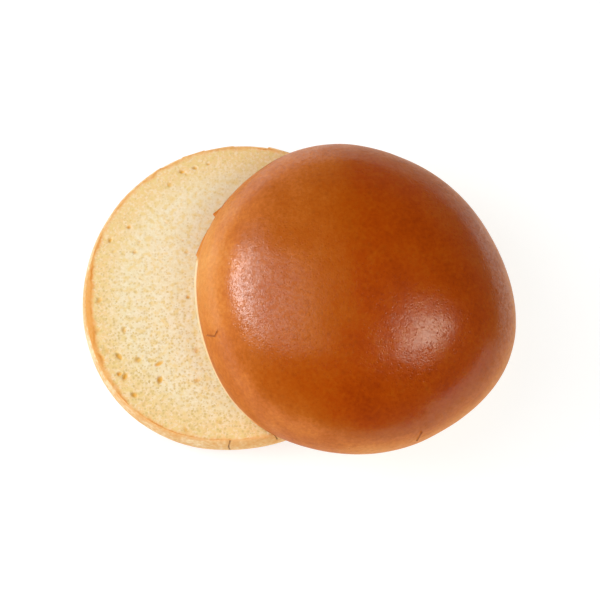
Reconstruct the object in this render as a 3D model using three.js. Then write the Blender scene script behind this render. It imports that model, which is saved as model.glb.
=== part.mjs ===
// A round, soft bread roll cut in two across its waist: a flat heel that lies cut face up, and a domed crown
// that has slid off it sideways and lies cut face down on the heel. Millimetres, +Z up. The origin is the middle
// of the heel's flat underside, and +X points the way the crown has slid.

import * as THREE from "three";

// Both halves come from one roll, so they share the radius of the knife cut.
const CUT_RADIUS = 52;

// The heel: a shallow dish, widest a little under the cut, that curves in to the flat spot it was baked on.
const HEEL_HEIGHT = 18;
const HEEL_WAIST_HEIGHT = 12.5;
const HEEL_BULGE = 0.9;
const HEEL_FOOT_RADIUS = 43;

// The crown: a dome, widest a little above the cut.
const CROWN_HEIGHT = 36;
const CROWN_WAIST_HEIGHT = 6;
const CROWN_BULGE = 1.0;

// Where the crown lies: how far its middle is from the heel's middle, and the gap between the two cut faces.
const CROWN_SLIDE_X = 38.3;
const CROWN_SLIDE_Y = -3.4;
const CUT_GAP = 0.3;

// Hand-shaped dough is never quite round. Each lobe makes the outline wider by `share` of its radius in `waves`
// directions, of which one is at `degrees`.
const HEEL_LOBES = [
  { waves: 2, share: 0.0235, degrees: 38 },
  { waves: 3, share: 0.0045, degrees: -6 },
  { waves: 4, share: 0.0035, degrees: -43 },
];
const CROWN_LOBES = [
  { waves: 2, share: 0.0295, degrees: -37 },
  { waves: 3, share: 0.019, degrees: -12 },
  { waves: 4, share: 0.0065, degrees: -25 },
  { waves: 6, share: 0.006, degrees: -18 },
];

// A quarter of a superellipse is close to this Bezier: each handle covers this share of its side.
const FULL_ROUND = 0.62;

const SEGMENTS_ROUND = 72;
const HEEL_RINGS = 10;
const CROWN_RINGS = 16;

const crustMaterial = new THREE.MeshStandardMaterial({ color: 0xa8490c, roughness: 0.42, metalness: 0 });
const crumbMaterial = new THREE.MeshStandardMaterial({ color: 0xf4dfae, roughness: 0.9, metalness: 0 });

// The factor by which the lobes change the radius at an angle in radians.
function lobeFactor(lobes, angle) {
  let factor = 1;
  for (const { waves, share, degrees } of lobes) {
    factor += share * Math.cos(waves * (angle - THREE.MathUtils.degToRad(degrees)));
  }
  return factor;
}

// Half of the heel's section, from the middle of its underside up and round to the middle of its cut face.
function heelProfile() {
  const waist = CUT_RADIUS + HEEL_BULGE;
  const curl = waist - HEEL_FOOT_RADIUS;
  const shoulder = HEEL_HEIGHT - HEEL_WAIST_HEIGHT;
  const path = new THREE.Path();
  path.moveTo(HEEL_FOOT_RADIUS, 0);
  path.bezierCurveTo(
    HEEL_FOOT_RADIUS + curl * FULL_ROUND, 0,
    waist, HEEL_WAIST_HEIGHT * (1 - FULL_ROUND),
    waist, HEEL_WAIST_HEIGHT,
  );
  path.quadraticCurveTo(waist, HEEL_HEIGHT - shoulder / 2, CUT_RADIUS, HEEL_HEIGHT);
  return closedOnAxis(path.getSpacedPoints(HEEL_RINGS));
}

// Half of the crown's section, from the middle of its cut face out and up over the dome to its top.
function crownProfile() {
  const waist = CUT_RADIUS + CROWN_BULGE;
  const dome = CROWN_HEIGHT - CROWN_WAIST_HEIGHT;
  const path = new THREE.Path();
  path.moveTo(CUT_RADIUS, 0);
  path.quadraticCurveTo(waist, CROWN_WAIST_HEIGHT / 2, waist, CROWN_WAIST_HEIGHT);
  path.bezierCurveTo(
    waist, CROWN_WAIST_HEIGHT + dome * FULL_ROUND,
    waist * FULL_ROUND, CROWN_HEIGHT,
    0, CROWN_HEIGHT,
  );
  return closedOnAxis(path.getSpacedPoints(CROWN_RINGS));
}

// Adds the flat faces' middles, so that a profile starts and ends on the axis, with no point twice.
function closedOnAxis(points) {
  const last = points[points.length - 1];
  const closed = [new THREE.Vector2(0, points[0].y), ...points];
  if (last.x > 0) closed.push(new THREE.Vector2(0, last.y));
  return closed;
}

// Turns a profile round the Z axis and gives it the lobes of hand-shaped dough.
function lobedRound(profile, lobes) {
  const geometry = new THREE.LatheGeometry(profile, SEGMENTS_ROUND);
  geometry.rotateX(Math.PI / 2);
  const position = geometry.getAttribute("position");
  for (let i = 0; i < position.count; i++) {
    const x = position.getX(i);
    const y = position.getY(i);
    const factor = lobeFactor(lobes, Math.atan2(y, x));
    position.setXY(i, x * factor, y * factor);
  }
  geometry.computeVertexNormals();
  return geometry;
}

function heel() {
  const mesh = new THREE.Mesh(lobedRound(heelProfile(), HEEL_LOBES), crumbMaterial);
  mesh.name = "heel";
  return mesh;
}

function crown() {
  const mesh = new THREE.Mesh(lobedRound(crownProfile(), CROWN_LOBES), crustMaterial);
  mesh.name = "crown";
  mesh.position.set(CROWN_SLIDE_X, CROWN_SLIDE_Y, HEEL_HEIGHT + CUT_GAP);
  return mesh;
}

const breadRoll = new THREE.Group();
breadRoll.add(heel(), crown());

export default breadRoll;
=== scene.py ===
"""A round, soft, egg-glazed bread roll, cut in two across its waist.

The flat heel lies cut face up. The domed crown has slid off it to one side and lies cut face down on it.
Both halves are made in the same way: a section is turned round the half's own axis, the lobes of hand-shaped
dough and the knife's small tears change its outline, and a Geometry Nodes tree gives the crust its lumps and
pits and the crumb its pores. Metres, +Z up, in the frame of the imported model.
"""

import logging
import math
from dataclasses import dataclass
from enum import Enum
from functools import partial
from typing import Any

import bmesh
import bpy
import numpy as np
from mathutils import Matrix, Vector


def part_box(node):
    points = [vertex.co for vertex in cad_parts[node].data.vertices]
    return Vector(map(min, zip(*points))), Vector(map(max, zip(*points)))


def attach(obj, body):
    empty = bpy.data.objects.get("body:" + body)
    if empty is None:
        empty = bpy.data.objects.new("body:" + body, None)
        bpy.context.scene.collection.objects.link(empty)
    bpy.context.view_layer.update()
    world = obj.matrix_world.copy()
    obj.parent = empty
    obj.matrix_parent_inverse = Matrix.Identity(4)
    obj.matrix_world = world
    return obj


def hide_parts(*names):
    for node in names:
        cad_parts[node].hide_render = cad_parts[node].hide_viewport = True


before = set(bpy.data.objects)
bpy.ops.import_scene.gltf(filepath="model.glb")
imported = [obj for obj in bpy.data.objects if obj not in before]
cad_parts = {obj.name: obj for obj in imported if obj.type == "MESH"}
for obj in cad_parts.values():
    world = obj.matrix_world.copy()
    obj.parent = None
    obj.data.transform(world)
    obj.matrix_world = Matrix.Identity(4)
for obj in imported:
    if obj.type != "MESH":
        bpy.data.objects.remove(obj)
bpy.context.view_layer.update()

log = logging.getLogger("bread_roll")

Node = bpy.types.Node
Socket = bpy.types.NodeSocket
Tree = bpy.types.NodeTree

MM = 0.001
BODY = "root"
FULL_TURN = 2 * math.pi

# How much fine detail a noise pattern holds.
SOFT = 2.0
EVEN = 3.0
RICH = 4.0


# ---------------------------------------- nodes


class Kind(Enum):
    """A kind of node that the trees are made of: its type name, and the settings that it always has here."""

    ADD = ("ShaderNodeMath", {"operation": "ADD"})
    SUBTRACT = ("ShaderNodeMath", {"operation": "SUBTRACT"})
    MULTIPLY = ("ShaderNodeMath", {"operation": "MULTIPLY"})
    MULTIPLY_ADD = ("ShaderNodeMath", {"operation": "MULTIPLY_ADD"})
    DIVIDE = ("ShaderNodeMath", {"operation": "DIVIDE"})
    MAXIMUM = ("ShaderNodeMath", {"operation": "MAXIMUM"})
    ABSOLUTE = ("ShaderNodeMath", {"operation": "ABSOLUTE"})
    LESS_THAN = ("ShaderNodeMath", {"operation": "LESS_THAN"})
    VECTOR_ADD = ("ShaderNodeVectorMath", {"operation": "ADD"})
    VECTOR_SUBTRACT = ("ShaderNodeVectorMath", {"operation": "SUBTRACT"})
    VECTOR_SCALE = ("ShaderNodeVectorMath", {"operation": "SCALE"})
    SPLIT = ("ShaderNodeSeparateXYZ", {})
    RANGE = ("ShaderNodeMapRange", {"interpolation_type": "LINEAR"})
    FADE = ("ShaderNodeMapRange", {"interpolation_type": "SMOOTHSTEP"})
    BLEND = ("ShaderNodeMix", {"data_type": "RGBA"})
    RAMP = ("ShaderNodeValToRGB", {})
    NOISE = ("ShaderNodeTexNoise", {"noise_dimensions": "3D"})
    SEEDED_NOISE = ("ShaderNodeTexNoise", {"noise_dimensions": "4D"})
    CELLS = ("ShaderNodeTexVoronoi", {"voronoi_dimensions": "3D"})
    SEEDED_CELLS = ("ShaderNodeTexVoronoi", {"voronoi_dimensions": "4D"})
    PLACE = ("ShaderNodeTexCoord", {})
    ATTRIBUTE = ("ShaderNodeAttribute", {})
    BUMP = ("ShaderNodeBump", {})
    SURFACE = ("ShaderNodeBsdfPrincipled", {})
    MATERIAL_OUTPUT = ("ShaderNodeOutputMaterial", {})
    LIGHT_PATH = ("ShaderNodeLightPath", {})
    BACKGROUND = ("ShaderNodeBackground", {})
    WORLD_OUTPUT = ("ShaderNodeOutputWorld", {})
    TREE_INPUT = ("NodeGroupInput", {})
    TREE_OUTPUT = ("NodeGroupOutput", {})
    POSITION = ("GeometryNodeInputPosition", {})
    NORMAL = ("GeometryNodeInputNormal", {})
    NUMBER = ("GeometryNodeInputNamedAttribute", {"data_type": "FLOAT"})
    FLAG = ("GeometryNodeInputNamedAttribute", {"data_type": "BOOLEAN"})
    STORE = ("GeometryNodeStoreNamedAttribute", {"data_type": "FLOAT", "domain": "POINT"})
    SET_POSITION = ("GeometryNodeSetPosition", {})
    REALIZE = ("GeometryNodeRealizeInstances", {})
    SET_MATERIAL = ("GeometryNodeSetMaterial", {})


def add_node(
    tree: Tree, kind: Kind, *values: Any, named: dict[str, Any] | None = None, **settings: Any
) -> Node:
    """Adds one node to a tree, with its settings, values and links.

    Args:
        tree: The shader or geometry tree.
        kind: The kind of node.
        *values: Its inputs in order. A socket is linked, a node stands for its first output, and anything
            else is set as a value.
        named: More inputs, by name.
        **settings: The node's own properties.

    Returns:
        The new node.
    """
    type_name, fixed = kind.value
    node = tree.nodes.new(type_name)
    for name, value in (fixed | settings).items():
        setattr(node, name, value)
    inputs = list(zip([socket for socket in node.inputs if socket.enabled], values))
    inputs += [(node.inputs[name], value) for name, value in (named or {}).items()]
    for socket, value in inputs:
        if isinstance(value, Node):
            value = next(output for output in value.outputs if output.enabled)
        if isinstance(value, Socket):
            tree.links.new(value, socket)
        else:
            socket.default_value = value
    return node


def linear(hex_colour: str) -> tuple[float, float, float, float]:
    """Turns an sRGB colour into the linear one that Blender's sockets take.

    Args:
        hex_colour: Six hexadecimal digits after a hash sign.

    Returns:
        Linear red, green and blue, and an alpha of 1.
    """
    channels = [int(hex_colour[i : i + 2], 16) / 255 for i in (1, 3, 5)]
    red, green, blue = (c / 12.92 if c <= 0.04045 else ((c + 0.055) / 1.055) ** 2.4 for c in channels)
    return red, green, blue, 1.0


# ---------------------------------------- curves and angles


def smooth(values: Any, start: float, end: Any) -> Any:
    """Rises smoothly from 0 at one value to 1 at another.

    Args:
        values: A number or an array.
        start: The value that gives 0.
        end: The value that gives 1, or an array of them. It may be lower than start.

    Returns:
        The share at each value.
    """
    t = np.clip((values - start) / (end - start), 0, 1)
    return t * t * (3 - 2 * t)


def away_from(angles: np.ndarray, degrees: float) -> np.ndarray:
    """Gives how many degrees, from -180 to 180, each angle in radians lies from a direction."""
    return (np.degrees(angles) - degrees + 180) % 360 - 180


def hump(angles: np.ndarray, degrees: float, spread: float) -> np.ndarray:
    """Gives 1 in a direction, and less away from it: about a third at the spread, in degrees."""
    return np.exp(-((away_from(angles, degrees) / spread) ** 2))


def bezier(*handles: tuple[float, float], count: int = 200) -> np.ndarray:
    """Samples a Bezier curve of any order.

    Args:
        *handles: Its control points.
        count: How many points to give.

    Returns:
        The points, one in each row.
    """
    points = np.array(handles, float)[:, None, :] * np.ones((1, count, 1))
    t = np.linspace(0, 1, count)[:, None]
    while len(points) > 1:
        points = points[:-1] * (1 - t) + points[1:] * t
    return points[0]


def distances_along(points: np.ndarray) -> np.ndarray:
    """Gives how far along a polyline each of its points is."""
    return np.concatenate([[0], np.cumsum(np.linalg.norm(np.diff(points, axis=0), axis=1))])


def spaced(points: np.ndarray, spacing: float) -> np.ndarray:
    """Resamples a polyline so that its points lie evenly.

    Args:
        points: Its points, one in each row.
        spacing: About how far apart the new points are.

    Returns:
        The new points, which keep both ends.
    """
    along = distances_along(points)
    steps = max(1, round(along[-1] / spacing))
    wanted = np.linspace(0, along[-1], steps + 1)
    return np.stack([np.interp(wanted, along, points[:, i]) for i in range(points.shape[1])], axis=1)


def distance_to_line(place: Vector, line: list[Vector]) -> float:
    """Measures how far a place is from a line of points.

    Args:
        place: The place.
        line: The points, joined by straight lines.

    Returns:
        The shortest distance.
    """
    best = math.inf
    for a, b in zip(line, line[1:]):
        t = max(0.0, min(1.0, (place - a).dot(b - a) / (b - a).length_squared))
        best = min(best, (place - a.lerp(b, t)).length)
    return best


# ---------------------------------------- what dough does


class Lies(Enum):
    """How a half of the roll lies on what is below it."""

    CUT_UP = "cut face up"
    CUT_DOWN = "cut face down"


@dataclass(frozen=True)
class Lobe:
    """A wave in the outline of hand-shaped dough: wider by a share of the radius in so many directions."""

    waves: int
    share: float
    degrees: float

    def swell(self, angles: np.ndarray) -> np.ndarray:
        """Gives the share of the radius that the lobe adds at each angle in radians."""
        return self.share * np.cos(self.waves * (angles - math.radians(self.degrees)))


@dataclass(frozen=True)
class EdgeChange:
    """A place, in degrees round the axis, where the cut edge leaves its even line."""

    degrees: float

    def step(self, angles: np.ndarray) -> np.ndarray:
        """Gives the distance by which the edge stands out at each angle in radians."""
        raise NotImplementedError


@dataclass(frozen=True)
class Tear(EdgeChange):
    """A step in the cut edge, where the skin tore: it rises slowly over the span and then falls at once."""

    span: float
    lift: float
    sharpness: float = 1.5

    def step(self, angles: np.ndarray) -> np.ndarray:
        """Gives the distance by which the edge stands out.

        Args:
            angles: Directions round the axis, in radians.

        Returns:
            The distance in each direction, 0 outside the span.
        """
        away = away_from(angles, self.degrees)
        share = np.where(away * self.span >= 0, 1 - np.abs(away / self.span), 0)
        return self.lift * np.clip(share, 0, 1) ** self.sharpness


@dataclass(frozen=True)
class Slump(EdgeChange):
    """A stretch of the cut edge that sank in as it cooled or, with a depth below 0, flared out."""

    spread: float
    depth: float

    def step(self, angles: np.ndarray) -> np.ndarray:
        """Gives the distance by which the edge stands out at each angle in radians."""
        return -self.depth * hump(angles, self.degrees, self.spread)


@dataclass(frozen=True)
class Crack:
    """A short split in the skin. Each point is a direction in degrees and a height above the half's foot."""

    points: tuple[tuple[float, float], ...]
    width: float
    depth: float = 0.5 * MM
    # The mesh is made finer up to this many widths away, with this many cuts in each edge.
    fringe: float = 4
    cuts: int = 3
    # No crack is as long as this, so nothing farther from its start is measured.
    search: float = 12 * MM


@dataclass(frozen=True)
class Hole:
    """One large gas hole that the knife opened, at x and y from the half's axis."""

    x: float
    y: float
    length: float
    width: float
    degrees: float = 0.0
    depth: float = 0.9 * MM
    # Its wall starts and ends at these shares of the way from its middle to its rim.
    rim: float = 1.15
    floor: float = 0.45

    def share(self, x: np.ndarray, y: np.ndarray) -> np.ndarray:
        """Says how much of the hole's depth each place has.

        Args:
            x: Places along x, from the half's axis.
            y: Places along y, from the half's axis.

        Returns:
            0 outside the hole and 1 on its floor.
        """
        turn = math.radians(self.degrees)
        along = (x - self.x) * math.cos(turn) + (y - self.y) * math.sin(turn)
        across = (y - self.y) * math.cos(turn) - (x - self.x) * math.sin(turn)
        return smooth(np.hypot(along / (self.length / 2), across / (self.width / 2)), self.rim, self.floor)


# ---------------------------------------- patterns


@dataclass(frozen=True)
class Spots:
    """Round spots of uneven strength on a surface. Their radius and middle are shares of the spacing."""

    spacing: float
    share: float
    radius: float
    middle: float
    faintest: float = 0.3
    ring_at: float = 0.8
    ring_width: float = 0.3

    def nearest(self, tree: Tree, position: Socket) -> tuple[Socket, Node]:
        """Finds the spot that each place is nearest to.

        Args:
            tree: The shader tree.
            position: The place on the half, in metres.

        Returns:
            How far the spot's middle is, as a share of the spacing, and its strength, 0 if it was left out.
        """
        add = partial(add_node, tree)
        cells = add(Kind.CELLS, position, 1 / self.spacing)
        chance = add(Kind.SPLIT, cells.outputs["Color"]).outputs
        there = add(Kind.LESS_THAN, chance[0], self.share)
        uneven = add(Kind.MULTIPLY_ADD, chance[1], 1 - self.faintest, self.faintest)
        return cells.outputs["Distance"], add(Kind.MULTIPLY, there, uneven)

    def spot(self, tree: Tree, distance: Socket, strength: Node) -> Node:
        """Gives how much of a spot is at each place, from what nearest found."""
        full = add_node(tree, Kind.FADE, distance, self.radius, self.middle)
        return add_node(tree, Kind.MULTIPLY, full, strength)

    def ring(self, tree: Tree, distance: Socket, strength: Node) -> Node:
        """Gives how much of a spot's edge is at each place.

        Args:
            tree: The shader tree.
            distance: How far the spot's middle is.
            strength: The spot's strength.

        Returns:
            A node that is 1 on the edge of a full spot and 0 away from it.
        """
        add = partial(add_node, tree)
        away = add(Kind.ABSOLUTE, add(Kind.SUBTRACT, distance, self.radius * self.ring_at))
        return add(Kind.MULTIPLY, add(Kind.FADE, away, self.radius * self.ring_width, 0.0), strength)


@dataclass(frozen=True)
class PorePattern:
    """Cells of the foam that the knife opened. The surface tree and the crumb's finish draw them alike.

    Radii are shares of the spacing. Close crumb has the closed share of each, and open crumb has more.
    """

    spacing: float
    smallest: float
    largest: float
    share: float
    seed: float
    bend: float
    closed: float = 0.75
    opening: float = 0.35
    rim: float = 1.1
    floor: float = 0.1

    def add_to(
        self,
        tree: Tree,
        position: Socket,
        coarse: Socket,
        spacing: Socket | None = None,
        share: Socket | None = None,
    ) -> Node:
        """Draws the cells.

        Args:
            tree: The shader or geometry tree.
            position: The place on the half, in metres.
            coarse: How open the crumb is there, from 0 to 1.
            spacing: A socket that takes the place of the pattern's own spacing.
            share: A socket that takes the place of the pattern's own share of open cells.

        Returns:
            A node that is 1 in the middle of an open cell and 0 on the walls between cells.
        """
        add = partial(add_node, tree)
        scale = add(Kind.DIVIDE, 1.0, spacing or self.spacing)
        wobble = add(Kind.NOISE, position, scale, 1.0).outputs["Color"]
        centred = add(Kind.VECTOR_SUBTRACT, wobble, (0.5, 0.5, 0.5))
        bent = add(Kind.VECTOR_SCALE, centred, add(Kind.DIVIDE, self.bend, scale))
        place = add(Kind.VECTOR_ADD, position, bent)
        place = add(Kind.VECTOR_ADD, place, (self.seed, self.seed / 2, self.seed / 3))
        cells = add(Kind.CELLS, place, scale)
        chance = add(Kind.SPLIT, cells.outputs["Color"]).outputs
        radius = add(Kind.RANGE, chance[0], 0.0, 1.0, self.smallest, self.largest)
        radius = add(Kind.MULTIPLY, radius, add(Kind.MULTIPLY_ADD, coarse, self.opening, self.closed))
        dish = add(Kind.FADE, add(Kind.DIVIDE, cells.outputs["Distance"], radius), self.rim, self.floor)
        return add(Kind.MULTIPLY, dish, add(Kind.LESS_THAN, chance[1], share or self.share))


# The crumb's ordinary cells, and the few that grew together as the dough rose.
FINE_PORES = PorePattern(spacing=0.85 * MM, smallest=0.2, largest=0.85, share=0.7, seed=0.2, bend=0.8)
BUBBLES = PorePattern(spacing=3.4 * MM, smallest=0.15, largest=0.42, share=0.3, seed=0.7, bend=0.6)


@dataclass(frozen=True)
class SurfaceSizes:
    """The surface tree's named inputs: real sizes, in metres, and the share of the bubbles that are open."""

    lump_size: float = 26 * MM
    lump_height: float = 0.5 * MM
    wrinkle_size: float = 5 * MM
    wrinkle_height: float = 0.03 * MM
    pit_spacing: float = 1.1 * MM
    pit_depth: float = 0.02 * MM
    pore_spacing: float = FINE_PORES.spacing
    pore_depth: float = 0.08 * MM
    bubble_spacing: float = BUBBLES.spacing
    bubble_share: float = BUBBLES.share
    bubble_depth: float = 0.6 * MM


class SurfaceTree:
    """The Geometry Nodes tree that gives a smooth half its real surface.

    Crust gets broad lumps, fine wrinkles and pits. Crumb gets fine pores and a few larger bubbles. The tree
    stores how deep in a bubble each point is as "bubble", for the crumb's finish to paint shade into.
    """

    lump_seed: float = 1.0
    wrinkle_seed: float = 5.0
    pit_seed: float = 3.0
    # A pit's rim and middle, as shares of the spacing.
    pit_rim: float = 0.45
    pit_middle: float = 0.05
    ripple_roughness: float = 0.45

    def __init__(self) -> None:
        """Builds the tree once, for both halves."""
        self.tree = bpy.data.node_groups.new("bread_surface", "GeometryNodeTree")
        self.tree.is_modifier = True
        kinds = {"Geometry": "NodeSocketGeometry"}
        kinds |= {name: "NodeSocketFloat" for name in SurfaceSizes.__dataclass_fields__}
        kinds |= {"crust": "NodeSocketMaterial", "crumb": "NodeSocketMaterial"}
        new_socket = self.tree.interface.new_socket
        self._sockets = {
            name: new_socket(name, in_out="INPUT", socket_type=kind).identifier
            for name, kind in kinds.items()
        }
        new_socket("Geometry", in_out="OUTPUT", socket_type="NodeSocketGeometry")
        self._build()

    def _ripples(self, position: Socket, size: Socket, height: Socket, seed: float) -> Node:
        """Makes the skin rise and sink by turns.

        Args:
            position: The place on the half.
            size: About how far across each rise is.
            height: How far the skin rises and sinks at most.
            seed: Which of the many such patterns it is.

        Returns:
            The rise at each place, below 0 where the skin sinks.
        """
        add = partial(add_node, self.tree)
        scale = add(Kind.DIVIDE, 1.0, size)
        waves = add(Kind.SEEDED_NOISE, position, seed, scale, SOFT, self.ripple_roughness)
        return add(Kind.MULTIPLY, add(Kind.MULTIPLY_ADD, waves, 2.0, -1.0), height)

    def _build(self) -> None:
        """Adds and links the tree's nodes."""
        add = partial(add_node, self.tree)
        given = add(Kind.TREE_INPUT).outputs
        position = add(Kind.POSITION).outputs[0]
        crumb, give, coarse = (add(Kind.NUMBER, name).outputs[0] for name in ("crumb", "give", "coarse"))

        lumps = self._ripples(position, given["lump_size"], given["lump_height"], self.lump_seed)
        wrinkles = self._ripples(position, given["wrinkle_size"], given["wrinkle_height"], self.wrinkle_seed)
        body = add(Kind.MULTIPLY, add(Kind.ADD, lumps, wrinkles), give)

        cells = add(Kind.SEEDED_CELLS, position, self.pit_seed, add(Kind.DIVIDE, 1.0, given["pit_spacing"]))
        pit = add(Kind.FADE, cells.outputs["Distance"], self.pit_rim, self.pit_middle)
        pit = add(Kind.MULTIPLY, pit, add(Kind.SPLIT, cells.outputs["Color"]))
        pit = add(Kind.MULTIPLY, add(Kind.MULTIPLY, pit, add(Kind.SUBTRACT, 1.0, crumb)), give)

        fine = FINE_PORES.add_to(self.tree, position, coarse, given["pore_spacing"])
        bubbles = BUBBLES.add_to(self.tree, position, coarse, given["bubble_spacing"], given["bubble_share"])
        bubbles = add(Kind.MULTIPLY, bubbles, crumb)
        depth = add(Kind.MULTIPLY, add(Kind.MULTIPLY, fine, crumb), given["pore_depth"])
        depth = add(Kind.MAXIMUM, depth, add(Kind.MULTIPLY, bubbles, given["bubble_depth"]))
        depth = add(Kind.ADD, depth, add(Kind.MULTIPLY, pit, given["pit_depth"]))

        # Bubbles are stored before the points move, so their painted shade sits where they were carved.
        stored = add(Kind.STORE, named={"Geometry": given["Geometry"], "Name": "bubble", "Value": bubbles})
        offset = add(Kind.VECTOR_SCALE, add(Kind.NORMAL), add(Kind.SUBTRACT, body, depth))
        moved = add(Kind.SET_POSITION, named={"Geometry": stored, "Offset": offset})
        real = add(Kind.REALIZE, moved)
        skinned = add(Kind.SET_MATERIAL, named={"Geometry": real, "Material": given["crust"]})
        cut = {"Geometry": skinned, "Selection": add(Kind.FLAG, "cut"), "Material": given["crumb"]}
        add(Kind.TREE_OUTPUT, add(Kind.SET_MATERIAL, named=cut))

    def apply(
        self,
        piece: bpy.types.Object,
        sizes: SurfaceSizes,
        crust: bpy.types.Material,
        crumb: bpy.types.Material,
    ) -> None:
        """Runs the tree on a piece and keeps the result as its plain mesh.

        Args:
            piece: The half, with its own attributes.
            sizes: The sizes for this half.
            crust: The finish of its skin.
            crumb: The finish of its cut face.
        """
        modifier = piece.modifiers.new("surface", "NODES")
        modifier.node_group = self.tree
        for name, value in (vars(sizes) | {"crust": crust, "crumb": crumb}).items():
            modifier[self._sockets[name]] = value
        depsgraph = bpy.context.evaluated_depsgraph_get()
        finished = bpy.data.meshes.new_from_object(piece.evaluated_get(depsgraph))
        piece.modifiers.remove(modifier)
        smooth_mesh = piece.data
        piece.data = finished
        bpy.data.meshes.remove(smooth_mesh)
        finished.name = piece.name


# ---------------------------------------- finishes


@dataclass(frozen=True)
class Finish:
    """What a surface is made of, and how it was made."""

    roughness: float
    specular: float

    def shader(self, tree: Tree) -> Node:
        """Adds the finish's nodes to an empty shader tree, and gives the last of them."""
        raise NotImplementedError

    def material(self, name: str) -> bpy.types.Material:
        """Builds the material.

        Args:
            name: What it is called.

        Returns:
            The finished material.
        """
        finish = bpy.data.materials.new(name)
        finish.use_nodes = True
        finish.node_tree.nodes.clear()
        add_node(finish.node_tree, Kind.MATERIAL_OUTPUT, self.shader(finish.node_tree))
        return finish


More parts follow.
